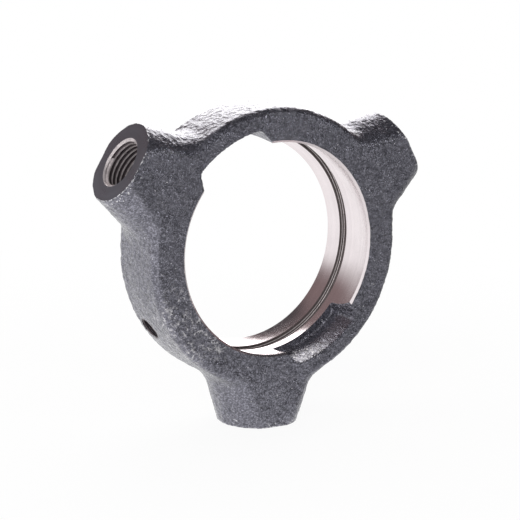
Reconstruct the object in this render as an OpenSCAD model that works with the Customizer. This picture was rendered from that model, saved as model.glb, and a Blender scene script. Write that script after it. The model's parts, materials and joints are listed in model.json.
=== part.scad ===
// Three-armed cast housing for a self-aligning insert bearing.
// The bearing axis runs along Y with the loading slots on the front, at -Y. The origin is the
// centre of the spherical seat, and the first arm points straight down.

/* [Bearing seat] */
// Diameter of the spherical seat
seat_d = 72; // [62:1:90]
// Chamfer at both edges of the seat
seat_chamfer = 0.8; // [0.4:0.1:2]
// Width of the grease groove
groove_w = 3.4; // [2:0.1:5]
// Depth of the grease groove below the seat
groove_depth = 1.6; // [1:0.1:2.5]
// Distance of the groove behind the middle of the seat
groove_offset = 4.7; // [4:0.1:8]

/* [Ring] */
// Wall between the seat and the outside of the ring, at its middle
ring_wall = 9.2; // [8:0.1:14]
// Width of the ring along the bearing axis
ring_w = 25; // [22:0.5:32]
// Rounding of the outer edges of the ring
ring_edge_r = 2.5; // [1:0.5:5]
// Draft of the outside of the ring, from its middle to its faces, in degrees
ring_draft = 1.5; // [0.5:0.5:4]

/* [Loading slots] */
// Width of a slot where it opens into the seat
slot_w = 27; // [22:0.5:30]
// Depth of a slot beyond the seat, which is also the width of its ledge
slot_depth = 3; // [2:0.5:5]
// Draft of the slot's end walls, in degrees
slot_draft = 16; // [8:1:24]
// Rounding of the corners at the floor of a slot
slot_corner_r = 2.5; // [1:0.5:4]
// Direction of the first slot, in degrees from +X towards +Z
slot_angle = 120; // [110:1:130]

/* [Arms] */
// Number of arms
arm_count = 3; // [2:1:4]
// Height of an arm's end face above the outside of the ring
arm_reach = 13; // [10:0.5:25]
// Diameter of an arm at its end face
arm_end_d = 26.2; // [24:0.2:32]
// Taper of an arm to each side, in degrees
arm_taper = 16; // [8:1:20]
// Radius of the blend between an arm and the ring
arm_fillet_r = 8; // [4:0.5:12]

/* [Threads] */
// Nominal thread diameter in an arm
thread_d = 16; // [10:1:18]
// Thread pitch in an arm
thread_pitch = 1.5; // [1:0.25:2.5]
// Wall left between the drill point and the seat
thread_floor = 3; // [2:0.5:6]
// Included angle of the drill point, in degrees
drill_angle = 118; // [90:1:140]
// Diameter of the countersink at a thread's mouth
countersink_d = 16.4; // [15:0.2:22]

/* [Grease port] */
// Nominal thread diameter of the grease port
port_d = 8; // [6:1:10]
// Thread pitch of the grease port
port_pitch = 1; // [0.75:0.25:1.5]
// Wall left between the port's thread and the seat
port_floor = 3; // [2.5:0.5:5]
// Diameter of the passage from the port into the groove
passage_d = 3.5; // [2:0.5:4]
// Direction of the port, in degrees from +X towards +Z
port_angle = 214; // [208:1:232]

/* [Hidden] */
$fn = 96;

seat_r = seat_d / 2;
half_w = ring_w / 2;
ring_r = seat_r + ring_wall;
seat_edge_r = sqrt(seat_r * seat_r - half_w * half_w);
groove_r = sqrt(seat_r * seat_r - groove_offset * groove_offset) + groove_depth;

// Each cut runs this far past the surface that it opens in
cut_over = 1;
// Straight and round stretches of an outline lap by this much, so that they cross cleanly
lap = 0.005;

arm_end_r = arm_end_d / 2;
arm_height = ring_r + arm_reach;
// The blend sinks a little below the ring, so that the two surfaces cross cleanly
arm_sink = 0.15;
arm_base = ring_r / 2;
thread_r = (thread_d - thread_pitch) / 2;
drill_tip = seat_r + thread_floor;
drill_shoulder = drill_tip + thread_r / tan(drill_angle / 2);
countersink_depth = countersink_d / 2 - thread_r;

port_r = (port_d - port_pitch) / 2;
port_bottom = seat_r + port_floor;

slot_floor_r = seat_r + slot_depth;

// Turns an outline of [radius, distance along Y] about the bearing axis
module about_bearing_axis() {
    rotate([-90, 0, 0]) rotate_extrude($fn = 180) children();
}

// Points +Z outwards from the bearing axis, at an angle from +X towards +Z
module outwards(angle) {
    rotate([0, 90 - angle, 0]) children();
}

// Repeats a shape for every arm, with +Z along the arm
module for_each_arm() {
    for (i = [0 : arm_count - 1]) outwards(-90 + i * 360 / arm_count) children();
}

// Half section of the ring as a full disc, drafted both ways from its middle, with round edges
module ring_outline() {
    edge_y = half_w - ring_edge_r;
    edge_x = ring_r - (ring_edge_r + edge_y * sin(ring_draft)) / cos(ring_draft);
    flank_x = edge_x + (ring_edge_r - lap) * cos(ring_draft);
    flank_y = edge_y + (ring_edge_r - lap) * sin(ring_draft);
    polygon([
        [0, -half_w], [edge_x, -half_w], [flank_x, -flank_y], [ring_r, 0],
        [flank_x, flank_y], [edge_x, half_w], [0, half_w]
    ]);
    for (side = [-1, 1]) translate([edge_x, side * edge_y]) circle(ring_edge_r);
}

// Half section of an arm about its own axis: a cone that flares into the ring
module arm_outline() {
    // Distance of the cone's flank, and of the blend's centre, from the bearing axis
    flank = arm_end_r * cos(arm_taper) + arm_height * sin(arm_taper);
    centre_reach = ring_r - arm_sink + arm_fillet_r;
    centre_along = sqrt(pow(centre_reach, 2) - pow(flank + arm_fillet_r, 2));
    centre = [
        (flank + arm_fillet_r) * cos(arm_taper) - centre_along * sin(arm_taper),
        (flank + arm_fillet_r) * sin(arm_taper) + centre_along * cos(arm_taper)
    ];
    flank_end = centre - (arm_fillet_r - lap) * [cos(arm_taper), sin(arm_taper)];
    ring_end = centre * (1 - (arm_fillet_r - lap) / centre_reach);
    // Below the blend the foot runs on into the ring, under its round edges
    foot = ring_end + ring_edge_r * [1, -2];
    difference() {
        polygon([
            [0, arm_base], [foot[0], arm_base], foot, ring_end, flank_end,
            [arm_end_r, arm_height], [0, arm_height]
        ]);
        translate(centre) circle(arm_fillet_r);
    }
}

// All arms, cut flush with both faces of the ring
module arm_blanks() {
    span = 2 * (arm_height + arm_end_r);
    intersection() {
        for_each_arm() rotate_extrude() arm_outline();
        translate([-span / 2, -half_w, -span / 2]) cube([span, ring_w, span]);
    }
}

// Blind tapped hole at the end of an arm, drawn at its core diameter
module tapped_hole() {
    rotate_extrude() polygon([
        [0, drill_tip],
        [thread_r, drill_shoulder],
        [thread_r, arm_height - countersink_depth],
        [countersink_d / 2, arm_height],
        [countersink_d / 2, arm_height + cut_over],
        [0, arm_height + cut_over]
    ]);
}

// The spherical seat, its chamfered edges and the grease groove
module seat_cut() {
    mouth_r = seat_edge_r + seat_chamfer;
    about_bearing_axis() {
        intersection() {
            circle(seat_r, $fn = 180);
            translate([0, -half_w - cut_over]) square([seat_r, ring_w + 2 * cut_over]);
        }
        for (side = [-1, 1]) polygon([
            [0, side * (half_w - seat_chamfer)],
            [seat_edge_r, side * (half_w - seat_chamfer)],
            [mouth_r, side * half_w],
            [mouth_r, side * (half_w + cut_over)],
            [0, side * (half_w + cut_over)]
        ]);
        translate([0, groove_offset - groove_w / 2]) square([groove_r, groove_w]);
    }
}

// Outline of a loading slot that opens along +X: drafted end walls and a floor round the bearing axis
module slot_outline() {
    mouth_x = sqrt(seat_r * seat_r - slot_w * slot_w / 4);
    wall = mouth_x * sin(slot_draft) + slot_w / 2 * cos(slot_draft);
    corner_reach = slot_floor_r - slot_corner_r + lap;
    corner_along = sqrt(pow(corner_reach, 2) - pow(wall - slot_corner_r, 2));
    corner = [
        (wall - slot_corner_r) * sin(slot_draft) + corner_along * cos(slot_draft),
        (wall - slot_corner_r) * cos(slot_draft) - corner_along * sin(slot_draft)
    ];
    wall_end = corner + (slot_corner_r - lap) * [sin(slot_draft), cos(slot_draft)];
    back_y = wall / cos(slot_draft);
    // The floor, as wide as the middles of its corners
    intersection() {
        circle(slot_floor_r, $fn = 180);
        polygon([[0, 0], 2 * [corner[0], -corner[1]], 2 * corner]);
    }
    polygon([
        [0, -back_y], [wall_end[0], -wall_end[1]], [corner[0], -corner[1]],
        corner, wall_end, [0, back_y]
    ]);
    for (side = [-1, 1]) translate([corner[0], side * corner[1]]) circle(slot_corner_r);
}

// A loading slot, from the middle of the seat out through the front
module loading_slot(angle) {
    rotate([90, 0, 0]) linear_extrude(half_w + cut_over) rotate(angle) slot_outline();
}

// The grease port's thread, and the passage that leads on into the groove
module grease_port() {
    translate([0, groove_offset, 0]) outwards(port_angle) {
        translate([0, 0, port_bottom]) cylinder(h = ring_r, r = port_r);
        translate([0, 0, ring_r / 2]) cylinder(h = ring_r / 2, d = passage_d);
    }
}

module housing() {
    color([0.30, 0.29, 0.33]) difference() {
        union() {
            about_bearing_axis() ring_outline();
            arm_blanks();
        }
        seat_cut();
        for (turn = [0, 180]) loading_slot(slot_angle + turn);
        for_each_arm() tapped_hole();
        grease_port();
    }
}

housing();
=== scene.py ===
"""Looks, light and camera for a three-armed cast bearing housing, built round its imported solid."""

import json
import logging
import math
from dataclasses import dataclass, field
from enum import Enum

import bpy
import numpy as np
from mathutils import Matrix, Vector, noise
from mathutils.kdtree import KDTree


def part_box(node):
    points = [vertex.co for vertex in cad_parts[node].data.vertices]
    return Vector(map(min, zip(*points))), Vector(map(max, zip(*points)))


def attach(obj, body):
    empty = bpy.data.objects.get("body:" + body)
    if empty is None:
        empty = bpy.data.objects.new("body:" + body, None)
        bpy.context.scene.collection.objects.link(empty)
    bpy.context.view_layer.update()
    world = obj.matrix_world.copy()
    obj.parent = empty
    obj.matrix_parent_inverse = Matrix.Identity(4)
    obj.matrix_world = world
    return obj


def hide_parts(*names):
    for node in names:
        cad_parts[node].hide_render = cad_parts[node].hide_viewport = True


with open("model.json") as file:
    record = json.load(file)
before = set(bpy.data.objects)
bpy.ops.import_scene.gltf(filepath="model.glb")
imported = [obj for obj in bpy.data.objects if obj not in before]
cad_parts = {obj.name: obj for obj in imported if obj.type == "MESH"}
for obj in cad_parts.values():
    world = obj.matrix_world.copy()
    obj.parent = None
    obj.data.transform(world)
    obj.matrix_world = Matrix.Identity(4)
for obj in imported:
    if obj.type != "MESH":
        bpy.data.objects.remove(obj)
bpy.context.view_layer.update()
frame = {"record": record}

LOG = logging.getLogger("housing_scene")
MM = 0.001
EDGE_ATTRIBUTE = "edge_mm"
AXIS_ATTRIBUTE = "tool_axis"

Array = np.ndarray
Colour = tuple[float, float, float]
Point = tuple[float, float, float]
Span = tuple[float, float]


class Finish(Enum):
    """Finishes of the casting, in the order of its material slots."""

    CAST_SKIN = 0
    TURNED_SEAT = 1
    FACED_END = 2
    TAPPED_THREAD = 3
    GREASE_GROOVE = 4


# Fields and meshes


def rounded_corner(a: Array, b: Array, cosine: Array | float, radius: Array | float) -> Array:
    """Joins two distance fields as an intersection with a round edge.

    Args:
        a: Distance to the first surface, negative inside.
        b: Distance to the second surface, negative inside.
        cosine: Cosine between the two outward normals.
        radius: Radius of the round edge.

    Returns:
        The distance to the joined shape.
    """
    first = a + radius
    second = b + radius
    near_edge = (first - cosine * second > 0) & (second - cosine * first > 0)
    square = first * first + second * second - 2 * cosine * first * second
    spread = np.maximum(1 - np.square(cosine), 1e-4)
    round_edge = np.sqrt(np.maximum(square, 0) / spread) - radius
    return np.where(near_edge, round_edge, np.maximum(a, b))


def filleted_union(a: Array, b: Array, cosine: Array | float, radius: float) -> Array:
    """Joins two distance fields as a union with a fillet, with the arguments of rounded_corner."""
    return -rounded_corner(-a, -b, cosine, radius)


def surface_net(values: Array, origin: Array, step: float) -> tuple[Array, Array]:
    """Meshes the zero level of a field that is sampled on a regular grid.

    Args:
        values: Field on the grid, negative inside.
        origin: Place of the first grid point.
        step: Grid spacing.

    Returns:
        Points and quads, with the quads facing outwards.
    """
    inside = values < 0
    cell_shape = tuple(n - 1 for n in values.shape)
    corners = [np.array((i, j, k)) for i in (0, 1) for j in (0, 1) for k in (0, 1)]
    filled = np.zeros(cell_shape, np.int8)
    for corner in corners:
        window = tuple(slice(c, c + n) for c, n in zip(corner, cell_shape))
        filled += inside[window]
    active = (filled > 0) & (filled < 8)
    cells = np.argwhere(active)
    index = np.full(cell_shape, -1, np.int64)
    index[active] = np.arange(len(cells))
    total = np.zeros((len(cells), 3))
    crossings = np.zeros(len(cells))
    for corner in corners:
        for axis in range(3):
            if corner[axis]:
                continue
            far = corner.copy()
            far[axis] = 1
            start = values[tuple((cells + corner).T)]
            end = values[tuple((cells + far).T)]
            crossed = (start < 0) != (end < 0)
            place = np.tile(corner.astype(float), (len(cells), 1))
            place[crossed, axis] = start[crossed] / (start[crossed] - end[crossed])
            total[crossed] += place[crossed]
            crossings += crossed
    points = origin + step * (cells + total / crossings[:, None])
    quads = []
    for axis in range(3):
        side = np.eye(3, dtype=int)[(axis + 1) % 3]
        rise = np.eye(3, dtype=int)[(axis + 2) % 3]
        ahead = np.eye(3, dtype=int)[axis]
        low = inside[tuple(slice(None, -1) if n else slice(1, -1) for n in ahead)]
        high = inside[tuple(slice(1, None) if n else slice(1, -1) for n in ahead)]
        edges = np.argwhere(low != high) + side + rise
        ring = [edges - side - rise, edges - rise, edges, edges - side]
        quad = np.stack([index[tuple(cell.T)] for cell in ring], 1)
        backward = ~inside[tuple(edges.T)]
        quad[backward] = quad[backward][:, ::-1]
        quads.append(quad)
    return points, np.concatenate(quads)


def mesh_object(name: str, points_mm: Array, faces: list[list[int]]) -> bpy.types.Object:
    """Makes a mesh object from points in millimetres.

    Args:
        name: Name of the object and its mesh.
        points_mm: Points in the shared frame, in millimetres.
        faces: Corner numbers of each face.

    Returns:
        The new object, linked to the scene.
    """
    mesh = bpy.data.meshes.new(name)
    mesh.from_pydata((np.asarray(points_mm) * MM).tolist(), [], faces)
    mesh.update()
    made = bpy.data.objects.new(name, mesh)
    bpy.context.scene.collection.objects.link(made)
    return made


def unit(vector: Array) -> Array:
    """Returns the vector, or each row of an array of vectors, at length 1."""
    return vector / np.linalg.norm(vector, axis=-1, keepdims=True)


@dataclass(frozen=True)
class ToolAxis:
    """A straight axis that a cutter turns about, in millimetres."""

    origin: Point
    direction: Point

    def basis(self) -> tuple[Array, Array, Array]:
        """Finds the axis's own directions.

        Returns:
            Two directions across the axis and the one along it, right-handed.
        """
        along = unit(np.array(self.direction, float))
        helper = (0.0, 1.0, 0.0) if abs(along[1]) < 0.9 else (1.0, 0.0, 0.0)
        across = unit(np.cross(helper, along))
        return across, np.cross(along, across), along

    def height(self, points: Array) -> Array:
        """Returns how far along the axis each point lies."""
        return (points - np.array(self.origin)) @ self.basis()[2]

    def radius(self, points: Array) -> Array:
        """Measures how far from the axis points lie.

        Args:
            points: Rows of coordinates.

        Returns:
            The distance of each point.
        """
        across, other, _ = self.basis()
        offset = points - np.array(self.origin)
        return np.hypot(offset @ across, offset @ other)

    def place(self, radius: Array, turn: Array, height: Array) -> Array:
        """Finds points about the axis.

        Args:
            radius: Distances from the axis.
            turn: Angles round it, in radians.
            height: Distances along it.

        Returns:
            The points, with their coordinates in the last dimension.
        """
        across, other, along = self.basis()
        wheel = np.cos(turn)[..., None] * across + np.sin(turn)[..., None] * other
        return np.array(self.origin) + radius[..., None] * wheel + height[..., None] * along


BEARING_AXIS = ToolAxis((0.0, 0.0, 0.0), (0.0, 1.0, 0.0))


# Cutters


@dataclass(frozen=True)
class TurnedCutter:
    """A solid of revolution that is cut out of the casting."""

    name: str
    axis: ToolAxis
    outline: tuple[Span, ...]
    segments: int = 96

    def build(self) -> bpy.types.Object:
        """Builds the closed solid from its outline of radius and height, which starts and ends on the axis.

        Returns:
            The cutter's object.
        """
        rim = np.array(self.outline[1:-1])
        turn = np.arange(self.segments) * 2 * math.pi / self.segments
        radius, angle = np.meshgrid(rim[:, 0], turn, indexing="ij")
        height = np.repeat(rim[:, 1:2], self.segments, 1)
        points = self.axis.place(radius, angle, height).reshape(-1, 3)
        tips = np.array((self.outline[0][1], self.outline[-1][1]))
        ends = self.axis.place(np.zeros(2), np.zeros(2), tips)
        first = len(points)
        top = (len(rim) - 1) * self.segments
        faces = []
        for i in range(self.segments):
            j = (i + 1) % self.segments
            for low in range(0, top, self.segments):
                high = low + self.segments
                faces.append([low + i, low + j, high + j, high + i])
            faces.append([first, j, i])
            faces.append([first + 1, top + i, top + j])
        return mesh_object(self.name, np.concatenate((points, ends)), faces)


@dataclass(frozen=True)
class TapCutter:
    """A right-hand screw thread that is cut into the wall of a bore."""

    name: str
    axis: ToolAxis
    core_r: float
    major_r: float
    pitch: float
    bottom: float
    top: float
    run_out: float
    segments: int = 72
    under_cut: float = 0.02
    profile: tuple[Span, ...] = (
        (0.0, 0.0), (0.15, -0.02), (0.297, 0.0), (0.586, 1.0), (0.648, 1.03), (0.711, 1.0),
    )

    def build(self) -> bpy.types.Object:
        """Builds the thread as one sheet along the helix, closed at both ends.

        Returns:
            The cutter's object.
        """
        rows = len(self.profile)
        turns = math.ceil((self.top - self.bottom) / self.pitch) + 1
        step = np.arange(rows * turns + 1)
        last = rows * turns
        share, depth = np.array(self.profile)[step % rows].T
        turn = np.arange(self.segments) / self.segments
        along = (share + step // rows)[:, None] + turn[None, :]
        height = self.bottom + self.pitch * (along - 1)
        fade = np.clip((height - self.bottom) / self.run_out, 0, 1)
        start_r = self.core_r - self.under_cut
        radius = start_r + (self.major_r - start_r) * depth[:, None] * fade
        angle = np.repeat(turn[None, :] * 2 * math.pi, len(step), 0)
        points = self.axis.place(radius, angle, height).reshape(-1, 3)

        def number(row: int, column: int) -> int:
            """Returns the point at this row and column, which climbs one pitch at the seam."""
            if column == self.segments:
                return (row + rows) * self.segments
            return row * self.segments + column

        faces = []
        for row in range(last):
            seam_open = row + 1 + rows > last
            for column in range(self.segments - seam_open):
                faces.append([
                    number(row, column), number(row, column + 1),
                    number(row + 1, column + 1), number(row + 1, column),
                ])
        under = [number(0, column) for column in range(self.segments)]
        under += [number(row, 0) for row in range(rows, 0, -1)]
        over = [number(last, column) for column in range(self.segments)]
        over += [number(row, self.segments - 1) for row in range(last - 1, last - rows - 1, -1)]
        tips = np.array((height.min(), height.max()))
        ends = self.axis.place(np.zeros(2), np.zeros(2), tips)
        low_end = len(points)
        for i, corner in enumerate(under):
            faces.append([low_end, under[(i + 1) % len(under)], corner])
        for i, corner in enumerate(over):
            faces.append([low_end + 1, corner, over[(i + 1) % len(over)]])
        return mesh_object(self.name, np.concatenate((points, ends)), faces)


# The casting


@dataclass(frozen=True)
class LoadingSlot:
    """A cast slot through which the bearing goes in edgewise, in millimetres and degrees."""

    angle: float
    seat_r: float
    width: float = 27.0
    depth: float = 3.0
    draft: float = 16.0
    corner_r: float = 2.5
    ledge_fillet: float = 1.0
    ledge_y: float = 0.0
    reach: float = 18.0

    def field(self, x: Array, y: Array, z: Array) -> Array:
        """Distance to the slot's own volume, negative inside it.

        Args:
            x: Coordinates along X.
            y: Coordinates along Y.
            z: Coordinates along Z.

        Returns:
            The distance at each point.
        """
        turn = math.radians(self.angle)
        draft = math.radians(self.draft)
        out = x * math.cos(turn) + z * math.sin(turn)
        aside = np.abs(z * math.cos(turn) - x * math.sin(turn))
        rho = np.maximum(np.hypot(x, z), 1e-6)
        mouth = math.sqrt(self.seat_r**2 - self.width**2 / 4)
        wall_at = mouth * math.sin(draft) + self.width / 2 * math.cos(draft)
        wall = aside * math.cos(draft) + out * math.sin(draft) - wall_at
        floor = rho - self.seat_r - self.depth
        cosine = (aside * math.cos(draft) + out * math.sin(draft)) / rho
        section = rounded_corner(wall, floor, cosine, self.corner_r)
        section = np.maximum(section, self.reach - out)
        return rounded_corner(section, y - self.ledge_y, 0.0, self.ledge_fillet)


@dataclass
class CastBlank:
    """The casting before machining: a drafted ring with arms and slots, in millimetres and degrees."""

    half_width: float
    arm_end: float
    seat_r: float
    slots: tuple[LoadingSlot, ...]
    arm_axes: tuple[ToolAxis, ...]
    ring_wall: float = 9.2
    ring_draft: float = 1.5
    parting_soft: float = 1.2
    ring_edge_r: float = 3.0
    arm_edge_r: float = 7.5
    arm_end_r: float = 13.1
    arm_taper: float = 16.0
    arm_base: float = 22.5
    arm_fillet: float = 8.0
    slot_edge_r: float = 0.6
    stock: float = 1.5
    bore_stock: float = 3.0
    step: float = 0.54
    slope_probe: float = 0.05
    slope_limits: Span = (-0.2, 0.97)
    soft_slopes: Span = (0.08, 0.50)
    settle_rounds: int = 3
    lump_mm: float = 5.0
    lump_depth: float = 0.14
    wave_mm: float = 1.45
    wave_depth: float = 0.36
    slot_calm: float = 0.6
    slot_near: float = 1.5
    mouth_calm: float = 0.75
    mouth_reach: Span = (1.4, 3.2)

    def side(self, x: Array, y: Array, z: Array) -> Array:
        """Distance to the outside wall of the ring and arms, without their front and back faces.

        Args:
            x: Coordinates along X.
            y: Coordinates along Y.
            z: Coordinates along Z.

        Returns:
            The distance at each point, negative inside.
        """
        draft = math.radians(self.ring_draft)
        taper = math.radians(self.arm_taper)
        rho = np.maximum(np.hypot(x, z), 1e-6)
        off_parting = np.hypot(y, self.parting_soft) - self.parting_soft
        outside = self.seat_r + self.ring_wall
        shape = (rho - outside + off_parting * math.tan(draft)) * math.cos(draft)
        flank = self.arm_end_r * math.cos(taper) + self.arm_end * math.sin(taper)
        for axis in self.arm_axes:
            out_x, _, out_z = axis.direction
            height = x * out_x + z * out_z
            aside = z * out_x - x * out_z
            spread = np.maximum(np.hypot(aside, y), 1e-6)
            cone = spread * math.cos(taper) + height * math.sin(taper) - flank
            arm = np.maximum(cone, self.arm_base - height)
            cosine = (math.cos(taper) * aside * aside / spread + math.sin(taper) * height) / rho
            shape = filleted_union(shape, arm, cosine, self.arm_fillet)
        return shape

    def field(self, points: Array) -> Array:
        """Distance to the blank.

        Args:
            points: Rows of coordinates.

        Returns:
            The distance at each point, negative inside.
        """
        x, y, z = points.T
        away = np.abs(y)
        probe = self.slope_probe
        side = self.side(x, away, z)
        slope = (self.side(x, away + probe, z) - self.side(x, away - probe, z)) / (2 * probe)
        slope = np.clip(slope, *self.slope_limits)
        soft = np.interp(slope, self.soft_slopes, (0.0, 1.0))
        edge_r = self.ring_edge_r + (self.arm_edge_r - self.ring_edge_r) * soft * soft * (3 - 2 * soft)
        shape = rounded_corner(side, away - self.half_width, slope, edge_r)
        for slot in self.slots:
            shape = rounded_corner(shape, -slot.field(x, y, z), 0.0, self.slot_edge_r)
        bore = math.sqrt(self.seat_r**2 - self.half_width**2) - self.bore_stock
        shape = np.maximum(shape, bore - np.hypot(x, z))
        for axis in self.arm_axes:
            shape = np.maximum(shape, axis.height(points) - self.arm_end - self.stock)
        return shape

    def normals(self, points: Array) -> Array:
        """Finds the outward direction of the field.

        Args:
            points: Rows of coordinates.

        Returns:
            The direction at each point, at length 1.
        """
        probe = self.slope_probe
        slopes = []
        for axis in np.eye(3):
            slopes.append(self.field(points + probe * axis) - self.field(points - probe * axis))
        slope = np.stack(slopes, 1) / (2 * probe)
        return slope / np.maximum(np.linalg.norm(slope, axis=1, keepdims=True), 1e-6)

    def mesh(self) -> tuple[Array, Array]:
        """Meshes the blank and roughens its skin.

        Returns:
            Points in millimetres and quads.
        """
        reach = self.arm_end + self.stock + 2 * self.step
        deep = self.half_width + 2 * self.step
        wide = np.arange(-reach, reach + self.step, self.step)
        thick = np.arange(-deep, deep + self.step, self.step)
        values = np.empty((len(wide), len(thick), len(wide)), np.float32)
        flat_y, flat_z = (g.ravel() for g in np.meshgrid(thick, wide, indexing="ij"))
        for i, x in enumerate(wide):
            sheet = np.stack((np.full_like(flat_y, x), flat_y, flat_z), 1)
            values[i] = self.field(sheet).reshape(len(thick), len(wide))
        points, quads = surface_net(values, np.array((wide[0], thick[0], wide[0])), self.step)
        for _ in range(self.settle_rounds):
            points -= self.field(points)[:, None] * self.normals(points)
        depth = self.skin_depth(points)
        return points - depth[:, None] * self.normals(points), quads

    def room(self, points: Array) -> Array:
        """Measures how far points lie inside the limits of the finished part's box.

        Args:
            points: Rows of coordinates.

        Returns:
            The distance of each point, 0 outside the box.
        """
        top = self.seat_r + self.ring_wall
        ends = [axis.direction[0] for axis in self.arm_axes]
        wide = max(ends) * self.arm_end + self.arm_end_r / 2
        limits = (wide - np.abs(points[:, 0]), self.half_width - np.abs(points[:, 1]), top - points[:, 2])
        return np.clip(np.min(limits, axis=0), 0.0, None)

    def skin_depth(self, points: Array) -> Array:
        """How far the sand-cast skin lies below the nominal surface.

        Args:
            points: Rows of coordinates on the nominal surface.

        Returns:
            Depths in millimetres, negative where the skin stands proud.
        """
        lumps = np.array([noise.fractal(Vector(p), 1.0, 2.0, 2) for p in points / self.lump_mm])
        waves = np.array([noise.fractal(Vector(p), 0.7, 2.1, 2) for p in points / self.wave_mm])
        past_mouth = np.hypot(points[:, 0], points[:, 2]) - math.sqrt(self.seat_r**2 - self.half_width**2)
        waves *= 1 - self.mouth_calm * np.interp(past_mouth, self.mouth_reach, (1.0, 0.0))
        depth = self.lump_depth * (0.5 + 0.5 * lumps) + self.wave_depth * (0.5 + 0.5 * waves)
        for slot in self.slots:
            near = np.clip(1 - np.abs(slot.field(*points.T)) / self.slot_near, 0, 1)
            depth = depth * (1 - self.slot_calm * near)
        room = self.room(points)
        lift = (self.lump_depth + self.wave_depth) / 2
        return np.maximum(depth - np.minimum(room, lift), -room)


# Shader nodes

Socket = bpy.types.NodeSocket


class NodeBench:
    """Adds nodes to one tree and joins them."""

    def __init__(self, tree: bpy.types.NodeTree) -> None:
        """Starts on an empty tree."""
        self.tree = tree
        tree.nodes.clear()

    def add(self, kind: str, inputs: dict | None = None, **settings: object) -> bpy.types.Node:
        """Adds a node.

        Args:
            kind: Type of node, without its ShaderNode prefix.
            inputs: Values or sockets for its inputs, by name or number.
            settings: Properties of the node.

        Returns:
            The new node.
        """
        node = self.tree.nodes.new("ShaderNode" + kind)
        for name, value in settings.items():
            setattr(node, name, value)
        for name, value in (inputs or {}).items():
            if isinstance(value, Socket):
                self.tree.links.new(value, node.inputs[name])
            else:
                node.inputs[name].default_value = value
        return node

    def math(self, operation: str, *values: object, clamp: bool = False) -> Socket:
        """Returns the result of a Math node on values or sockets."""
        inputs = dict(enumerate(values))
        return self.add("Math", inputs, operation=operation, use_clamp=clamp).outputs[0]

    def ramp(self, value: Socket, low: float, high: float, start: float = 0.0, end: float = 1.0) -> Socket:
        """Returns a value mapped smoothly from one range to another."""
        inputs = {"Value": value, 1: low, 2: high, 3: start, 4: end}
        return self.add("MapRange", inputs, interpolation_type="SMOOTHSTEP").outputs[0]

    def vector(self, operation: str, *values: object) -> Socket:
        """Returns the result of a Vector Math node, a number where the operation gives one."""
        node = self.add("VectorMath", dict(enumerate(values)), operation=operation)
        gives_number = operation in ("DISTANCE", "DOT_PRODUCT", "LENGTH")
        return node.outputs["Value" if gives_number else "Vector"]

    def mix(self, share: Socket, first: object, second: object) -> Socket:
        """Returns a mix of two colours, each a socket or a plain colour."""
        ends = [end if isinstance(end, Socket) else (*end, 1.0) for end in (first, second)]
        return self.add("Mix", {0: share, 6: ends[0], 7: ends[1]}, data_type="RGBA").outputs[2]

    def group(self, tree: bpy.types.NodeTree, **inputs: object) -> bpy.types.Node:
        """Places a node group and sets its inputs by name."""
        return self.add("Group", inputs, node_tree=tree)

    def noise(self, where: Socket, scale: Socket | float, detail: float, rough: float = 0.5) -> Socket:
        """Returns a noise value at a place."""
        inputs = {"Vector": where, "Scale": scale, "Detail": detail, "Roughness": rough}
        return self.add("TexNoise", inputs).outputs[0]

    def place_mm(self) -> Socket:
        """Returns the place on the piece in millimetres."""
        place = self.add("TexCoord").outputs["Object"]
        return self.add("VectorMath", {0: place, "Scale": 1 / MM}, operation="SCALE").outputs[0]

    def from_axis(self, place: Socket) -> Socket:
        """Returns the vector from the bearing axis to a place."""
        return self.vector("MULTIPLY", place, (1.0, 0.0, 1.0))


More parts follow.
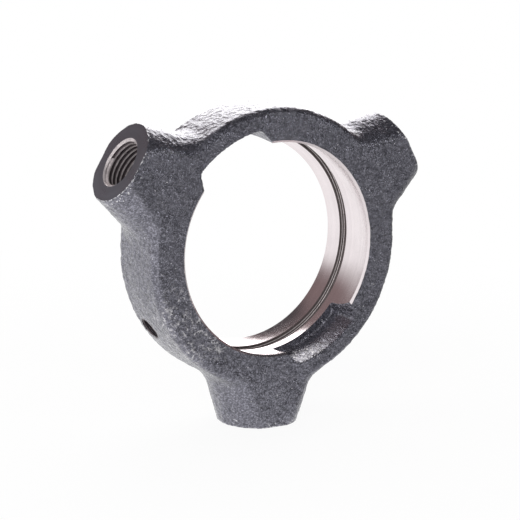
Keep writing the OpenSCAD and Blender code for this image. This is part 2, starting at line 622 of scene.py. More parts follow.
class SurfaceGroups:
    """Node groups for the effects that several finishes share."""

    def __init__(self) -> None:
        """Builds every group once."""
        self.mottle = self._mottle()
        self.edge_wear_and_highlight = self._edge_wear_and_highlight()
        self.tool_marks = self._tool_marks()

    @staticmethod
    def _start(name: str, inputs: dict[str, float], outputs: tuple[str, ...]) -> NodeBench:
        """Makes an empty group.

        Args:
            name: Name of the group.
            inputs: Names of its inputs, with their usual values.
            outputs: Names of its outputs.

        Returns:
            A bench on the group's tree.
        """
        tree = bpy.data.node_groups.new(name, "ShaderNodeTree")
        for label, value in inputs.items():
            made = tree.interface.new_socket(label, in_out="INPUT", socket_type="NodeSocketFloat")
            made.default_value = value
        for label in outputs:
            tree.interface.new_socket(label, in_out="OUTPUT", socket_type="NodeSocketFloat")
        return NodeBench(tree)

    @staticmethod
    def _finish(bench: NodeBench, **outputs: Socket) -> bpy.types.NodeTree:
        """Joins values to the outputs of a group.

        Args:
            bench: A bench on the group's tree.
            outputs: The value of each output, by name.

        Returns:
            The group's tree.
        """
        end = bench.tree.nodes.new("NodeGroupOutput")
        for label, socket in outputs.items():
            bench.tree.links.new(socket, end.inputs[label])
        return bench.tree

    def _mottle(self) -> bpy.types.NodeTree:
        """Builds patchy colour variation at a given size.

        Returns:
            The group's tree.
        """
        bench = self._start("mottle", {"Size": 5.0, "Contrast": 1.0}, ("Patches",))
        source = bench.tree.nodes.new("NodeGroupInput")
        place = bench.place_mm()
        scale = bench.math("DIVIDE", 1.0, source.outputs["Size"])
        centred = bench.math("SUBTRACT", bench.noise(place, scale, 4.0, 0.6), 0.5)
        strong = bench.math("MULTIPLY_ADD", centred, source.outputs["Contrast"], 0.5, clamp=True)
        return self._finish(bench, Patches=strong)

    def _edge_wear_and_highlight(self) -> bpy.types.NodeTree:
        """Builds a broken line mask along machined edges, for rim wear and for painted highlights on rims
        and thread crests.

        Returns:
            The group's tree.
        """
        bench = self._start("edge_wear_and_highlight", {"Width": 0.5, "Break": 0.4}, ("Mask",))
        source = bench.tree.nodes.new("NodeGroupInput")
        place = bench.place_mm()
        edge = bench.add("Attribute", attribute_name=EDGE_ATTRIBUTE).outputs["Fac"]
        rough = bench.math("SUBTRACT", bench.noise(place, 0.9, 3.0, 0.7), 0.5)
        shift = bench.math("MULTIPLY", rough, source.outputs["Break"])
        far = bench.math("DIVIDE", bench.math("ADD", edge, shift), source.outputs["Width"])
        return self._finish(bench, Mask=bench.ramp(far, 0.25, 1.0, 1.0, 0.0))

    def _tool_marks(self) -> bpy.types.NodeTree:
        """Builds fine lines that a cutting tool leaves at even distances.

        Returns:
            The group's tree.
        """
        bench = self._start("tool_marks", {"Distance": 0.0, "Pitch": 0.3}, ("Height", "Shade"))
        source = bench.tree.nodes.new("NodeGroupInput")
        lines = bench.math("DIVIDE", source.outputs["Distance"], source.outputs["Pitch"])
        fine = bench.add("TexNoise", {"W": lines, "Scale": 1.0, "Detail": 2.0}, noise_dimensions="1D")
        wide = bench.add("TexNoise", {"W": lines, "Scale": 0.17, "Detail": 3.0}, noise_dimensions="1D")
        return self._finish(bench, Height=fine.outputs[0], Shade=wide.outputs[0])


def new_material(name: str) -> tuple[bpy.types.Material, NodeBench]:
    """Makes a material with an empty node tree.

    Args:
        name: Name of the material.

    Returns:
        The material and a bench on its tree.
    """
    made = bpy.data.materials.new(name)
    made.use_nodes = True
    return made, NodeBench(made.node_tree)


def close_material(bench: NodeBench, shader: Socket) -> None:
    """Joins a shader to the material's output."""
    bench.add("OutputMaterial", {"Surface": shader})


# Finishes


@dataclass(frozen=True)
class CastSkin:
    """Dark sand-cast iron with a leathery grain, rubbed scuffs and burred rims, with painted glints, painted
    crease shade and painted highlights on a slot floor and the rims.
    """

    groups: SurfaceGroups
    dark: Colour = (0.034, 0.034, 0.046)
    light: Colour = (0.355, 0.35, 0.412)
    # Colour of painted highlights: the glint dots, the slot-floor sparkle and the rim highlights.
    painted_glint: Colour = (0.72, 0.71, 0.73)
    scuff: Colour = (0.60, 0.585, 0.605)
    metal: float = 0.8
    scuff_and_glint_metal: float = 0.25
    rough_low: float = 0.16
    rough_high: float = 0.28
    oil: float = 0.4
    oil_rough: float = 0.25
    broad_share: float = 0.18
    # Share of painted crease shade, darker where the bump's lumps are low.
    painted_crease_shade_share: float = 0.16
    fine_share: float = 0.78
    least_tone: float = 0.03
    fine_mm: float = 0.47
    grain_draw: Point = (1.0, 0.55, 1.0)
    lump_mm: float = 1.25
    fine_height_mm: float = 0.12
    lump_height_mm: float = 0.50
    glint_mm: float = 0.8
    glint_chance: Span = (0.965, 0.99)
    glint_reach: Span = (0.10, 0.32)
    # Painted sparkle: highlights painted on the slot floor near its end.
    sparkle_mm: float = 0.62
    sparkle_place: Point = (11.0, -9.0, -37.5)
    sparkle_reach: Span = (4.0, 11.5)
    scuff_place: Point = (-30.5, -12.5, -22.0)
    scuff_reach: Span = (9.0, 19.0)
    scuff_share: float = 0.88
    scuff_stray: float = 0.08
    scuff_strength: float = 0.85
    rim_mm: float = 0.5
    rim_reach_mm: Span = (48.0, 50.0)
    nick_reach_mm: Span = (56.2, 57.6)

    @staticmethod
    def _near(bench: NodeBench, place: Socket, centre: Point, reach: Span) -> Socket:
        """Returns a mask that fades out around a place.

        Args:
            bench: The material's bench.
            place: Place on the piece in millimetres.
            centre: Middle of the mask.
            reach: Distances at which the fade starts and ends.

        Returns:
            The mask.
        """
        return bench.ramp(bench.vector("DISTANCE", place, centre), *reach, 1.0, 0.0)

    def _scuffs(self, bench: NodeBench, place: Socket) -> Socket:
        """Returns a mask of light rubbed strokes, most of them low on the front.

        Args:
            bench: The material's bench.
            place: Place on the piece in millimetres.

        Returns:
            The mask.
        """
        region = self._near(bench, place, self.scuff_place, self.scuff_reach)
        region = bench.math("MULTIPLY_ADD", region, self.scuff_share, self.scuff_stray)
        swirl = bench.math("SUBTRACT", bench.noise(place, 0.28, 2.0, 0.6), 0.5)
        strokes = bench.ramp(bench.math("ABSOLUTE", swirl), 0.015, 0.075, 1.0, 0.0)
        broken = bench.ramp(bench.noise(place, 0.7, 5.0, 0.75), 0.45, 0.62)
        dots = bench.ramp(bench.noise(place, 1.3, 4.0, 0.7), 0.57, 0.68, 0.0, 0.5)
        marks = bench.math("MAXIMUM", bench.math("MULTIPLY", strokes, broken), dots)
        return bench.math("MULTIPLY", marks, region)

    def _rim_burrs_and_highlights(self, bench: NodeBench, place: Socket, outwards: Socket) -> Socket:
        """Returns a mask of broken burrs and nicks along the rims of the arm ends, partly worn bare metal
        and partly painted highlight.

        Args:
            bench: The material's bench.
            place: Place on the piece in millimetres.
            outwards: Vector from the bearing axis to the place, in millimetres.

        Returns:
            The mask.
        """
        wear_and_highlight = bench.group(self.groups.edge_wear_and_highlight, Width=self.rim_mm, Break=1.0)
        far = bench.vector("LENGTH", outwards)
        on_arm = bench.ramp(far, *self.rim_reach_mm)
        broken = bench.ramp(bench.noise(place, 0.9, 3.0, 0.7), 0.47, 0.58)
        burrs = bench.math("MULTIPLY", bench.math("MULTIPLY", wear_and_highlight.outputs["Mask"], on_arm), broken)
        nicks = bench.ramp(bench.noise(place, 0.8, 3.0, 0.6), 0.62, 0.68)
        nicks = bench.math("MULTIPLY", nicks, bench.ramp(far, *self.nick_reach_mm))
        return bench.math("MAXIMUM", burrs, nicks)

    def _painted_slot_sparkle(self, bench: NodeBench, place: Socket, outwards: Socket) -> Socket:
        """Returns a mask of painted sparkle highlights on a slot's floor, the only skin that faces the
        bearing axis.

        Args:
            bench: The material's bench.
            place: Place on the piece in millimetres.
            outwards: Vector from the bearing axis to the place, in millimetres.

        Returns:
            The mask.
        """
        normal = bench.add("NewGeometry").outputs["Normal"]
        facing = bench.vector("DOT_PRODUCT", bench.vector("NORMALIZE", outwards), normal)
        floor = bench.ramp(facing, -0.55, -0.25, 1.0, 0.0)
        region = self._near(bench, place, self.sparkle_place, self.sparkle_reach)
        grains = bench.ramp(bench.noise(place, 1 / self.sparkle_mm, 1.0), 0.55, 0.585, 0.0, 0.85)
        return bench.math("MULTIPLY", grains, bench.math("MULTIPLY", floor, region))

    def material(self) -> bpy.types.Material:
        """Builds the material.

        Returns:
            The finished material.
        """
        made, bench = new_material("cast_skin")
        place = bench.place_mm()
        outwards = bench.from_axis(place)
        broad = bench.group(self.groups.mottle, Size=9.0, Contrast=1.6)
        close = bench.group(self.groups.mottle, Size=2.2, Contrast=2.0)
        drawn = bench.vector("MULTIPLY", place, self.grain_draw)
        lumps = bench.noise(drawn, 1 / self.lump_mm, 2.0, 0.5)
        fine = bench.noise(drawn, 1 / self.fine_mm, 2.0, 0.6)
        tone = bench.math("MULTIPLY_ADD", broad.outputs["Patches"], self.broad_share, self.least_tone)
        # Painted crease shade: the tone follows the lumps that also drive the bump, so the creases are
        # darker.
        tone = bench.math("MULTIPLY_ADD", bench.ramp(lumps, 0.30, 0.66), self.painted_crease_shade_share, tone)
        # Grain specks, partly painted light: they follow the fine bump, lighter on its peaks and darker in
        # its pits.
        specks_and_painted_relief_light = bench.ramp(fine, 0.38, 0.78)
        tone = bench.math("MULTIPLY_ADD", specks_and_painted_relief_light, self.fine_share, tone, clamp=True)
        colour = bench.mix(tone, self.dark, self.light)
        scuffs = bench.math("MULTIPLY", self._scuffs(bench, place), self.scuff_strength)
        colour = bench.mix(scuffs, colour, self.scuff)
        # Painted glints: sparse light dots in the colour that stand in for highlights on single grains.
        cells = bench.add("TexVoronoi", {"Vector": place, "Scale": 1 / self.glint_mm})
        chance = bench.add("SeparateColor", {0: cells.outputs["Color"]}).outputs[0]
        dots = bench.ramp(cells.outputs["Distance"], *self.glint_reach, 1.0, 0.0)
        bright = bench.math("MULTIPLY", bench.ramp(chance, *self.glint_chance), dots)
        # Painted sparkle highlights on the slot floor.
        bright = bench.math("MAXIMUM", bright, self._painted_slot_sparkle(bench, place, outwards))
        # Rim burrs and nicks: partly worn bare metal, partly painted highlight where the rims catch light.
        bright = bench.math("MAXIMUM", bright, self._rim_burrs_and_highlights(bench, place, outwards))
        colour = bench.mix(bright, colour, self.painted_glint)
        # Scuffs and painted glints are less metallic, so the painted glints also show in diffuse light.
        scuffs_and_painted_glints = bench.math("MAXIMUM", scuffs, bright)
        metal = bench.ramp(scuffs_and_painted_glints, 0.0, 1.0, self.metal, self.scuff_and_glint_metal)
        rough = bench.ramp(close.outputs["Patches"], 0.2, 0.8, self.rough_high, self.rough_low)
        height = bench.math("MULTIPLY", fine, self.fine_height_mm)
        height = bench.math("MULTIPLY_ADD", lumps, self.lump_height_mm, height)
        bump = bench.add("Bump", {"Strength": 1.0, "Distance": MM, "Height": height})
        shader = bench.add("BsdfPrincipled", {
            "Base Color": colour, "Metallic": metal, "Roughness": rough, "Normal": bump.outputs[0],
            "Coat Weight": self.oil, "Coat Roughness": self.oil_rough,
        })
        close_material(bench, shader.outputs[0])
        return made


@dataclass(frozen=True)
class TooledIron:
    """What finishes left by a cutting tool have in common: fine lines and duller patches."""

    groups: SurfaceGroups
    name: str
    bright: Colour
    dull: Colour
    metal: float
    rough: Span
    pitch_mm: float
    mark_mm: float
    mark_strength: float
    mark_share: float
    patch_mm: float
    patch_contrast: float
    patch_share: float

    def _across(self, bench: NodeBench) -> Socket:
        """Returns the distance across the tool's lines, which run round the bearing axis."""
        return bench.add("SeparateXYZ", {0: bench.place_mm()}).outputs[1]

    def _marked(self, bench: NodeBench, colour: Socket) -> Socket:
        """Returns the colour with the finish's own marks on it, here none."""
        return colour

    def material(self) -> bpy.types.Material:
        """Builds the material.

        Returns:
            The finished material.
        """
        made, bench = new_material(self.name)
        marks = bench.group(self.groups.tool_marks, Distance=self._across(bench), Pitch=self.pitch_mm)
        mottle = bench.group(self.groups.mottle, Size=self.patch_mm, Contrast=self.patch_contrast)
        patches = mottle.outputs["Patches"]
        shade = bench.ramp(marks.outputs["Shade"], 0.3, 0.7, 0.0, self.mark_share)
        shade = bench.math("MULTIPLY_ADD", patches, self.patch_share, shade, clamp=True)
        colour = self._marked(bench, bench.mix(shade, self.bright, self.dull))
        rough = bench.ramp(patches, 0.2, 0.8, *self.rough)
        bump = bench.add("Bump", {
            "Strength": self.mark_strength, "Distance": self.mark_mm * MM, "Height": marks.outputs["Height"],
        })
        shader = bench.add("BsdfPrincipled", {
            "Base Color": colour, "Metallic": self.metal, "Roughness": rough, "Normal": bump.outputs[0],
        })
        close_material(bench, shader.outputs[0])
        return made


@dataclass(frozen=True)
class TurnedSeat(TooledIron):
    """Bright turned iron with fine lines round the bearing axis."""

    name: str = "turned_seat"
    bright: Colour = (0.90, 0.83, 0.845)
    dull: Colour = (0.72, 0.655, 0.665)
    metal: float = 1.0
    rough: Span = (0.16, 0.26)
    pitch_mm: float = 0.28
    mark_mm: float = 0.04
    mark_strength: float = 0.35
    mark_share: float = 0.22
    patch_mm: float = 7.0
    patch_contrast: float = 1.4
    patch_share: float = 0.35


@dataclass(frozen=True)
class FacedEnd(TooledIron):
    """Iron faced flat at the end of an arm, with fine lines round the arm's axis."""

    name: str = "faced_end"
    bright: Colour = (0.285, 0.310, 0.365)
    dull: Colour = (0.215, 0.232, 0.270)
    metal: float = 1.0
    rough: Span = (0.26, 0.38)
    pitch_mm: float = 0.35
    mark_mm: float = 0.01
    mark_strength: float = 0.3
    mark_share: float = 0.4
    patch_mm: float = 6.0
    patch_contrast: float = 1.8
    patch_share: float = 0.5

    def _across(self, bench: NodeBench) -> Socket:
        """Returns the distance across the tool's lines, which run round the arm's axis."""
        axis = bench.add("Attribute", attribute_name=AXIS_ATTRIBUTE).outputs["Vector"]
        return bench.vector("LENGTH", bench.vector("CROSS_PRODUCT", bench.place_mm(), axis))


@dataclass(frozen=True)
class TappedThread:
    """Cut thread, light at its crests as painted highlight and dark brownish in its roots as painted shade.
    """

    groups: SurfaceGroups
    # Painted highlight colour on the crests, painted shade colour in the roots.
    crest: Colour = (0.80, 0.735, 0.74)
    root: Colour = (0.105, 0.086, 0.092)
    root_metal: float = 0.75
    crest_metal: float = 0.5
    crest_mm: float = 0.14
    crest_break: float = 0.06
    stain: float = 0.35
    rough_low: float = 0.28
    rough_high: float = 0.45

    def material(self) -> bpy.types.Material:
        """Builds the material.

        Returns:
            The finished material.
        """
        made, bench = new_material("tapped_thread")
        patches = bench.group(self.groups.mottle, Size=2.0, Contrast=1.8)
        wear_and_highlight = bench.group(self.groups.edge_wear_and_highlight, Width=self.crest_mm, Break=self.crest_break)
        # Painted highlight on the crests over painted shade in the roots.
        colour = bench.mix(wear_and_highlight.outputs["Mask"], self.root, self.crest)
        metal = bench.ramp(wear_and_highlight.outputs["Mask"], 0.0, 1.0, self.root_metal, self.crest_metal)
        shade = bench.math("MULTIPLY", patches.outputs["Patches"], self.stain)
        colour = bench.mix(shade, colour, self.root)
        rough = bench.ramp(patches.outputs["Patches"], 0.2, 0.8, self.rough_high, self.rough_low)
        shader = bench.add("BsdfPrincipled", {
            "Base Color": colour, "Metallic": metal, "Roughness": rough,
        })
        close_material(bench, shader.outputs[0])
        return made


@dataclass(frozen=True)
class GreaseGroove(TooledIron):
    """Turned groove, coloured dark as painted shade in its recess, with painted highlight lines at a radius
    and a distance along the axis.
    """

    name: str = "grease_groove"
    # Dark colours as painted shade in the groove's recess.
    bright: Colour = (0.20, 0.172, 0.172)
    dull: Colour = (0.085, 0.066, 0.065)
    metal: float = 0.4
    rough: Span = (0.24, 0.40)
    pitch_mm: float = 0.22
    mark_mm: float = 0.04
    mark_strength: float = 0.3
    mark_share: float = 0.3
    patch_mm: float = 4.0
    patch_contrast: float = 1.8
    patch_share: float = 0.7
    # Colour of the painted highlight lines.
    line: Colour = (0.82, 0.77, 0.77)
    line_places: tuple[Point, ...] = ((36.45, 6.4, 0.0), (37.29, 6.4, 0.0))
    line_half_mm: Span = (0.09, 0.17)

    def _marked(self, bench: NodeBench, colour: Socket) -> Socket:
        """Paints highlight lines along the groove's rear wall.

        Args:
            bench: The material's bench.
            colour: Colour of the plain groove.

        Returns:
            The colour with the lines on it.
        """
        radius = bench.vector("LENGTH", bench.from_axis(bench.place_mm()))
        section = bench.add("CombineXYZ", {0: radius, 1: self._across(bench)}).outputs[0]
        # Painted highlight lines at the given radius and distance along the axis.
        for line in self.line_places:
            off = bench.vector("DISTANCE", section, line)
            colour = bench.mix(bench.ramp(off, *self.line_half_mm, 1.0, 0.0), colour, self.line)
        return colour


# The machined piece


@dataclass
class Housing:
    """The finished casting: its blank, the cuts made in it and its finishes. Sizes are in millimetres."""

    mounts: dict[str, dict]
    half_width: float
    arm_end: float
    piece_name: str = "housing_casting"
    slot_angles: tuple[float, ...] = (120.0, 300.0)
    chamfer: float = 1.2
    groove_w: float = 3.4
    groove_depth: float = 1.6
    groove_y: float = 4.7
    seat_segments: int = 256
    seat_steps: int = 40
    thread_major_r: float = 8.0
    thread_pitch: float = 1.5
    countersink_r: float = 8.2
    drill_tip: float = 39.0
    drill_half_angle: float = 59.0
    thread_start: float = 44.0
    facing_r: float = 20.0
    port_major_r: float = 4.0
    port_pitch: float = 1.0
    port_bottom: float = 39.0
    passage_r: float = 1.75
    port_segments: int = 48
    over: float = 3.0
    touch: float = 0.03
    sharp_deg: float = 42.0
    edge_reach: float = 6.0
    crest_drop: float = 0.07

    def _seat_r(self) -> float:
        """Returns the radius of the spherical seat."""
        return self.mounts["bearing_seat"]["dims"]["r_mm"]

    def _groove_r(self) -> float:
        """Returns the radius of the groove's floor."""
        return math.sqrt(self._seat_r()**2 - self.groove_y**2) + self.groove_depth

    def _arm_axes(self) -> tuple[ToolAxis, ...]:
        """Returns the axes of the three tapped arms, from the bearing's centre."""
        names = ("thread_lower", "thread_right", "thread_left")
        return tuple(ToolAxis((0.0, 0.0, 0.0), tuple(self.mounts[n]["axis"])) for n in names)

    def _port_axis(self) -> ToolAxis:
        """Returns the axis of the grease port, from the bearing's axis."""
        port = self.mounts["grease_port"]
        return ToolAxis((0.0, port["pos_m"][1] / MM, 0.0), tuple(port["axis"]))

    def _seat_outline(self) -> tuple[Span, ...]:
        """Outline of what is turned out of the ring, as radius and distance along the bearing axis.

        Returns:
            Points from the axis in front round the seat to the axis behind.
        """
        seat_r = self._seat_r()
        half = self.half_width
        edge_r = math.sqrt(seat_r**2 - half**2)
        mouth_r = edge_r + self.chamfer
        lead = edge_r - half + self.chamfer
        meet = (math.sqrt(2 * seat_r**2 - lead**2) - lead) / 2
        groove_r = self._groove_r()
        front = self.groove_y - self.groove_w / 2
        back = self.groove_y + self.groove_w / 2
        points = [(0.0, -half - self.over), (mouth_r, -half - self.over), (mouth_r, -half)]
        for low, high in ((-meet, front), (back, meet)):
            steps = max(4, round(self.seat_steps * (high - low) / (2 * meet)))
            for y in np.linspace(low, high, steps):
                points.append((math.sqrt(seat_r**2 - y * y), float(y)))
            if high == front:
                points += [(groove_r, front), (groove_r, back)]
        points += [(mouth_r, half), (mouth_r, half + self.over), (0.0, half + self.over)]
        return tuple(points)

    def _cutters(self) -> list[TurnedCutter | TapCutter]:
        """Lists every cut.

        Returns:
            The cutters, in the order in which the casting is machined.
        """
        core_r = self.mounts["thread_lower"]["dims"]["r_mm"]
        port_r = self.mounts["grease_port"]["dims"]["r_mm"]
        cuts = [TurnedCutter("seat_cut", BEARING_AXIS, self._seat_outline(), self.seat_segments)]
        end = self.arm_end
        shoulder = self.drill_tip + core_r / math.tan(math.radians(self.drill_half_angle))
        hole = (
            (0.0, self.drill_tip), (core_r, shoulder),
            (core_r, end - self.countersink_r + core_r), (self.countersink_r, end),
            (self.facing_r, end), (self.facing_r, end + self.over), (0.0, end + self.over),
        )
        for i, axis in enumerate(self._arm_axes()):
            cuts.append(TurnedCutter(f"arm_cut_{i}", axis, hole))
            cuts.append(TapCutter(
                f"arm_tap_{i}", axis, core_r, self.thread_major_r, self.thread_pitch,
                self.thread_start, end + self.over, self.thread_pitch,
            ))
        port_axis = self._port_axis()
        ring_out = self._seat_r() + self.over * 4
        bore = (
            (0.0, self._seat_r() - self.over), (self.passage_r, self._seat_r() - self.over),
            (self.passage_r, self.port_bottom), (port_r, self.port_bottom),
            (port_r, ring_out), (0.0, ring_out),
        )
        cuts.append(TurnedCutter("port_cut", port_axis, bore, self.port_segments))
        cuts.append(TapCutter(
            "port_tap", port_axis, port_r, self.port_major_r, self.port_pitch,
            self.port_bottom + self.port_pitch, ring_out, self.port_pitch, self.port_segments,
        ))
        return cuts

    def build(self) -> bpy.types.Object:
        """Casts the blank, machines it and sorts its faces by finish.

        Returns:
            The housing's object.
        """
        seat_r = self._seat_r()
        slots = tuple(LoadingSlot(angle, seat_r) for angle in self.slot_angles)
        blank = CastBlank(self.half_width, self.arm_end, seat_r, slots, self._arm_axes())
        points, quads = blank.mesh()
        LOG.info("blank: %d points", len(points))
        piece = mesh_object(self.piece_name, points, quads.tolist())
        cutters = [cut.build() for cut in self._cutters()]
        for cutter in cutters:
            step = piece.modifiers.new(cutter.name, "BOOLEAN")
            step.operation = "DIFFERENCE"
            step.solver = "MANIFOLD"
            step.object = cutter
        graph = bpy.context.evaluated_depsgraph_get()
        machined = bpy.data.meshes.new_from_object(piece.evaluated_get(graph))
        piece.modifiers.clear()
        piece.data = machined
        machined.name = self.piece_name
        machined.materials.clear()
        for cutter in cutters:
            bpy.data.objects.remove(cutter)
        self._sort_faces(piece.data)
        return piece

    def _sort_faces(self, mesh: bpy.types.Mesh) -> None:
        """Gives each face its finish and tool axis, and each point its distance to a machined edge.

        Args:
            mesh: The machined mesh.
        """
        count = len(mesh.polygons)
        centres = np.empty(count * 3)
        mesh.polygons.foreach_get("center", centres)
        centres = centres.reshape(-1, 3) / MM
        finish = np.full(count, Finish.CAST_SKIN.value)
        axes = np.tile(np.array((0.0, 1.0, 0.0)), (count, 1))
        outline = np.array(self._seat_outline()[1:-1])
        flat = np.stack((BEARING_AXIS.radius(centres), BEARING_AXIS.height(centres)), 1)
        nearest = np.full(count, np.inf)
        for start, end in zip(outline[:-1], outline[1:]):
            run = end - start
            share = np.clip(((flat - start) @ run) / (run @ run), 0, 1)
            nearest = np.minimum(nearest, np.linalg.norm(flat - start - share[:, None] * run, axis=1))
        finish[nearest < self.touch] = Finish.TURNED_SEAT.value
        below_seat = np.linalg.norm(centres, axis=1) > self._seat_r() + self.touch
        in_groove = np.abs(centres[:, 1] - self.groove_y) < self.groove_w / 2 + self.touch
        finish[(nearest < self.touch) & below_seat & in_groove] = Finish.GREASE_GROOVE.value
        for axis in self._arm_axes():
            height = axis.height(centres)
            radius = axis.radius(centres)
            in_hole = (radius < self.countersink_r) & (height > self.drill_tip - self.touch)
            on_end = (np.abs(height - self.arm_end) < self.touch) & ~in_hole
            finish[in_hole] = Finish.TAPPED_THREAD.value
            finish[on_end] = Finish.FACED_END.value
            axes[in_hole | on_end] = axis.direction
        port = self._port_axis()
        radius = port.radius(centres)
        in_port = (radius < self.port_major_r - self.touch) & (port.height(centres) > self._groove_r())
        finish[in_port] = Finish.TAPPED_THREAD.value
        axes[in_port] = port.direction
        mesh.polygons.foreach_set("material_index", finish.astype(np.int32))
        made = mesh.attributes.new(AXIS_ATTRIBUTE, "FLOAT_VECTOR", "FACE")
        made.data.foreach_set("vector", axes.ravel())
        self._mark_edges(mesh, finish)

    def _mark_edges(self, mesh: bpy.types.Mesh, finish: Array) -> None:
        """Makes the edges between finishes sharp and stores how far each point is from one.

        Args:
            mesh: The machined mesh.
            finish: Finish number of each face.
        """
        mesh.shade_smooth()
        mesh.set_sharp_from_angle(angle=math.radians(self.sharp_deg))
        loops = len(mesh.loops)
        loop_edge = np.empty(loops, np.int32)
        mesh.loops.foreach_get("edge_index", loop_edge)
        totals = np.empty(len(mesh.polygons), np.int32)
        mesh.polygons.foreach_get("loop_total", totals)
        loop_finish = np.repeat(finish, totals)
        low = np.full(len(mesh.edges), len(Finish))
        high = np.full(len(mesh.edges), -1)
        np.minimum.at(low, loop_edge, loop_finish)
        np.maximum.at(high, loop_edge, loop_finish)
        sharp = np.empty(len(mesh.edges), bool)
        mesh.edges.foreach_get("use_edge_sharp", sharp)
        border = low != high
        machined = sharp & (low > Finish.CAST_SKIN.value)
        mesh.edges.foreach_set("use_edge_sharp", sharp | border)
        ends = np.empty(len(mesh.edges) * 2, np.int32)
        mesh.edges.foreach_get("vertices", ends)
        marked = np.unique(ends.reshape(-1, 2)[border | machined])
        points = np.empty(len(mesh.vertices) * 3)
        mesh.vertices.foreach_get("co", points)
        points = points.reshape(-1, 3) / MM
        tree = KDTree(len(marked))
        for number in marked:
            tree.insert(points[number], int(number))
        tree.balance()
        far = np.array([tree.find(p)[2] for p in points])
        self._mark_threads(points, far)
        made = mesh.attributes.new(EDGE_ATTRIBUTE, "FLOAT", "POINT")
        made.data.foreach_set("value", np.minimum(far, self.edge_reach).astype(np.float32))

    def _mark_threads(self, points: Array, far: Array) -> None:
        """Sets how far below its crest each point of a thread lies, with the countersinks as crests, which
        the painted crest highlight and root shade follow.

        Args:
            points: Rows of coordinates in millimetres.
            far: Distance of each point to a machined edge, which is changed in place.
        """
        core_r = self.mounts["thread_lower"]["dims"]["r_mm"]
        mouth = self.arm_end - self.countersink_r + core_r
        for axis in self._arm_axes():
            height = axis.height(points)
            radius = axis.radius(points)
            inside = (radius < self.countersink_r + self.touch) & (height > self.thread_start)
            threaded = inside & (height < mouth - self.touch)
            far[inside] = self.crest_drop
            far[threaded] += np.abs(radius[threaded] - core_r)
        # The grease port is set to the full reach, so it takes the dark root colour all over as painted
        # shade.
        port = self._port_axis()
        radius = port.radius(points)
        inside = (radius < self.port_major_r) & (port.height(points) > self.port_bottom)
        far[inside] = self.edge_reach

    def dress(self, piece: bpy.types.Object) -> None:
        """Gives the piece its materials and its place in the frame.

        Args:
            piece: The housing's object.
        """
        groups = SurfaceGroups()
        finishes = {
            Finish.CAST_SKIN: CastSkin(groups),
            Finish.TURNED_SEAT: TurnedSeat(groups),
            Finish.FACED_END: FacedEnd(groups),
            Finish.TAPPED_THREAD: TappedThread(groups),
            Finish.GREASE_GROOVE: GreaseGroove(groups),
        }
        for choice in Finish:
            piece.data.materials.append(finishes[choice].material())
        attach(piece, "root")
        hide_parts("housing")


# Studio


@dataclass(frozen=True)
class PhotoCamera:
    """A camera at the photograph's viewing angle."""

    yaw: float = 31.864
    pitch: float = 11.373
    roll: float = 1.160
    distance_mm: float = 515.127
    right_mm: float = 0.03
    up_mm: float = 5.41
    focal_px: float = 1600.0
    frame_px: float = 520.0
    sensor_mm: float = 36.0

    def build(self) -> bpy.types.Object:
        """Makes the camera and sets it as the scene's own.

        Returns:
            The camera's object.
        """
        yaw = math.radians(self.yaw)
        pitch = math.radians(self.pitch)
        roll = math.radians(self.roll)
        back = Vector((
            -math.sin(yaw) * math.cos(pitch), -math.cos(yaw) * math.cos(pitch), math.sin(pitch),
        ))
        level = (-back).cross(Vector((0, 0, 1))).normalized()
        upright = back.cross(level)
        right = math.cos(roll) * level + math.sin(roll) * upright
        up = -math.sin(roll) * level + math.cos(roll) * upright
        place = (back * self.distance_mm - right * self.right_mm - up * self.up_mm) * MM
        data = bpy.data.cameras.new("photo_camera")
        data.sensor_width = self.sensor_mm
        data.lens = self.focal_px * self.sensor_mm / self.frame_px
        made = bpy.data.objects.new("photo_camera", data)
        turn = Matrix((right, up, back)).transposed().to_4x4()
        made.matrix_world = Matrix.Translation(place) @ turn
        bpy.context.scene.collection.objects.link(made)
        bpy.context.scene.camera = made
        return made


@dataclass(frozen=True)
class SoftBox:
    """A rectangular studio lamp that points at the housing."""

    name: str
    place: Point
    width: float
    height: float
    power: float
    shows: bool = True

    def build(self) -> bpy.types.Object:
        """Makes the lamp.

        Returns:
            The lamp's object.
        """
        data = bpy.data.lights.new(self.name, "AREA")
        data.shape = "RECTANGLE"
        data.size = self.width
        data.size_y = self.height
        data.energy = self.power
        made = bpy.data.objects.new(self.name, data)
        made.location = self.place
        aim = -Vector(self.place)
        made.rotation_euler = aim.to_track_quat("-Z", "Y").to_euler()
        made.visible_camera = False
        made.visible_glossy = self.shows
        bpy.context.scene.collection.objects.link(made)
        return made


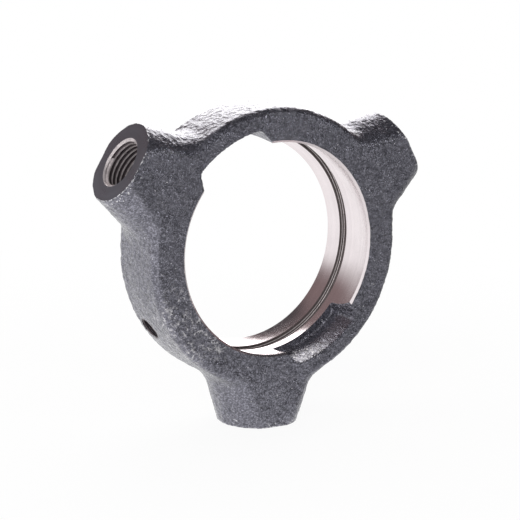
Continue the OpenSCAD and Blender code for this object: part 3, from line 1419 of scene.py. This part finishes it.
@dataclass
class Studio:
    """A pale floor, a surround that is bright near the floor and soft lamps."""

    floor_z: float
    floor_size: float = 6.0
    floor_gap: float = 0.0001
    floor_white: float = 0.92
    near_white: float = 0.93
    shadow_reach: Span = (0.08, 0.30)
    front_way: Point = (0.72, -0.69, 0.0)
    front_fade: Span = (-0.015, 0.09)
    front_floor_painted_shade: float = 0.48
    front_share: Span = (0.40, 0.85)
    behind_share: Span = (-0.1, 0.4)
    band_lean: Point = (0.30, 0.0, 1.0)
    band_top: Span = (-0.16, 0.26)
    left_way: Point = (-0.72, -0.57, 0.40)
    left_share: Span = (0.78, 0.92)
    top_fade: Span = (0.70, 0.92)
    low_glow: Colour = (1.0, 1.0, 1.0)
    front_glow: Colour = (0.30, 0.295, 0.32)
    back_glow: Colour = (0.22, 0.165, 0.165)
    high_glow: Colour = (0.05, 0.05, 0.055)
    lamps: tuple[SoftBox, ...] = field(default_factory=lambda: (
        SoftBox("top_light", (0.0, 0.25, 0.80), 0.75, 0.55, 2.8, shows=False),
        SoftBox("back_light", (0.49, 0.79, 0.37), 0.85, 0.80, 5.6),
        SoftBox("front_light", (0.52, -0.77, 0.38), 0.12, 0.12, 0.7),
        SoftBox("left_light", (-0.50, -0.42, 0.16), 0.45, 0.35, 3.2, shows=False),
    ))

    def build(self) -> None:
        """Builds the floor, the surround and the lamps."""
        self._floor()
        self._surround()
        for lamp in self.lamps:
            lamp.build()

    def _forward(self, bench: NodeBench, place: Socket) -> Socket:
        """Returns how far a place or direction lies to the front."""
        return bench.vector("DOT_PRODUCT", place, self.front_way)

    def _floor(self) -> None:
        """Builds the floor, white to the camera and with the housing's shadow on it, and in reflections
        dimmer to the front as painted shade.
        """
        half = self.floor_size / 2 / MM
        z = self.floor_z / MM - self.floor_gap / MM
        corners = np.array(((-half, -half, z), (half, -half, z), (half, half, z), (-half, half, z)))
        floor = mesh_object("floor", corners, [[0, 1, 2, 3]])
        made, bench = new_material("floor_white")
        shade = bench.add("BsdfDiffuse", {"Color": (self.floor_white,) * 3 + (1.0,)})
        place = bench.add("TexCoord").outputs["Object"]
        far = bench.vector("LENGTH", place)
        path = bench.add("LightPath")
        white = bench.ramp(far, *self.shadow_reach, self.near_white, 1.0)
        direct = bench.math("MULTIPLY", path.outputs["Is Camera Ray"], white)
        passed = bench.math("MAXIMUM", path.outputs["Is Glossy Ray"], path.outputs["Is Transmission Ray"])
        # Reflections see the floor glow fully behind the housing and dimmer to the front: painted shade
        # standing in for the lamps' falloff.
        behind = bench.ramp(self._forward(bench, place), *self.front_fade, 1.0, self.front_floor_painted_shade)
        strength = bench.math("MAXIMUM", path.outputs["Is Camera Ray"], behind)
        glow = bench.add("Emission", {"Color": (1.0, 1.0, 1.0, 1.0), "Strength": strength})
        share = bench.math("MAXIMUM", direct, passed)
        mixed = bench.add("MixShader", {0: share, 1: shade.outputs[0], 2: glow.outputs[0]})
        close_material(bench, mixed.outputs[0])
        floor.data.materials.append(made)

    def _surround(self) -> None:
        """Builds the surround, white to the camera, bright near the floor and dark above."""
        world = bpy.data.worlds.new("surround")
        bpy.context.scene.world = world
        world.use_nodes = True
        bench = NodeBench(world.node_tree)
        way = bench.add("TexCoord").outputs["Generated"]
        parts = bench.add("SeparateXYZ", {0: way})
        front = bench.ramp(self._forward(bench, way), *self.front_share)
        low = bench.mix(front, self.low_glow, self.front_glow)
        behind = bench.ramp(parts.outputs[1], *self.behind_share)
        high = bench.mix(behind, self.high_glow, self.back_glow)
        high = bench.mix(bench.ramp(parts.outputs[2], *self.top_fade), high, self.high_glow)
        rise = bench.vector("DOT_PRODUCT", way, self.band_lean)
        colour = bench.mix(bench.ramp(rise, *self.band_top), low, high)
        aside = bench.vector("DOT_PRODUCT", way, self.left_way)
        colour = bench.mix(bench.ramp(aside, *self.left_share), colour, self.low_glow)
        camera = bench.add("LightPath").outputs["Is Camera Ray"]
        colour = bench.mix(camera, colour, (1.0, 1.0, 1.0))
        glow = bench.add("Background", {"Color": colour, "Strength": 1.0})
        bench.add("OutputWorld", {"Surface": glow.outputs[0]})


def main() -> None:
    """Builds the housing and its studio, and reports each piece."""
    logging.basicConfig(level=logging.INFO, format="%(name)s: %(message)s")
    mounts = {mount["name"]: mount for mount in frame["record"]["mounts"]}
    low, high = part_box("housing")
    housing = Housing(mounts, half_width=high.y / MM, arm_end=-low.z / MM)
    piece = housing.build()
    housing.dress(piece)
    LOG.info("%s: %d faces", piece.name, len(piece.data.polygons))
    Studio(floor_z=low.z).build()
    PhotoCamera().build()
    bpy.context.scene.view_settings.view_transform = "Standard"


if __name__ == "__main__":
    main()
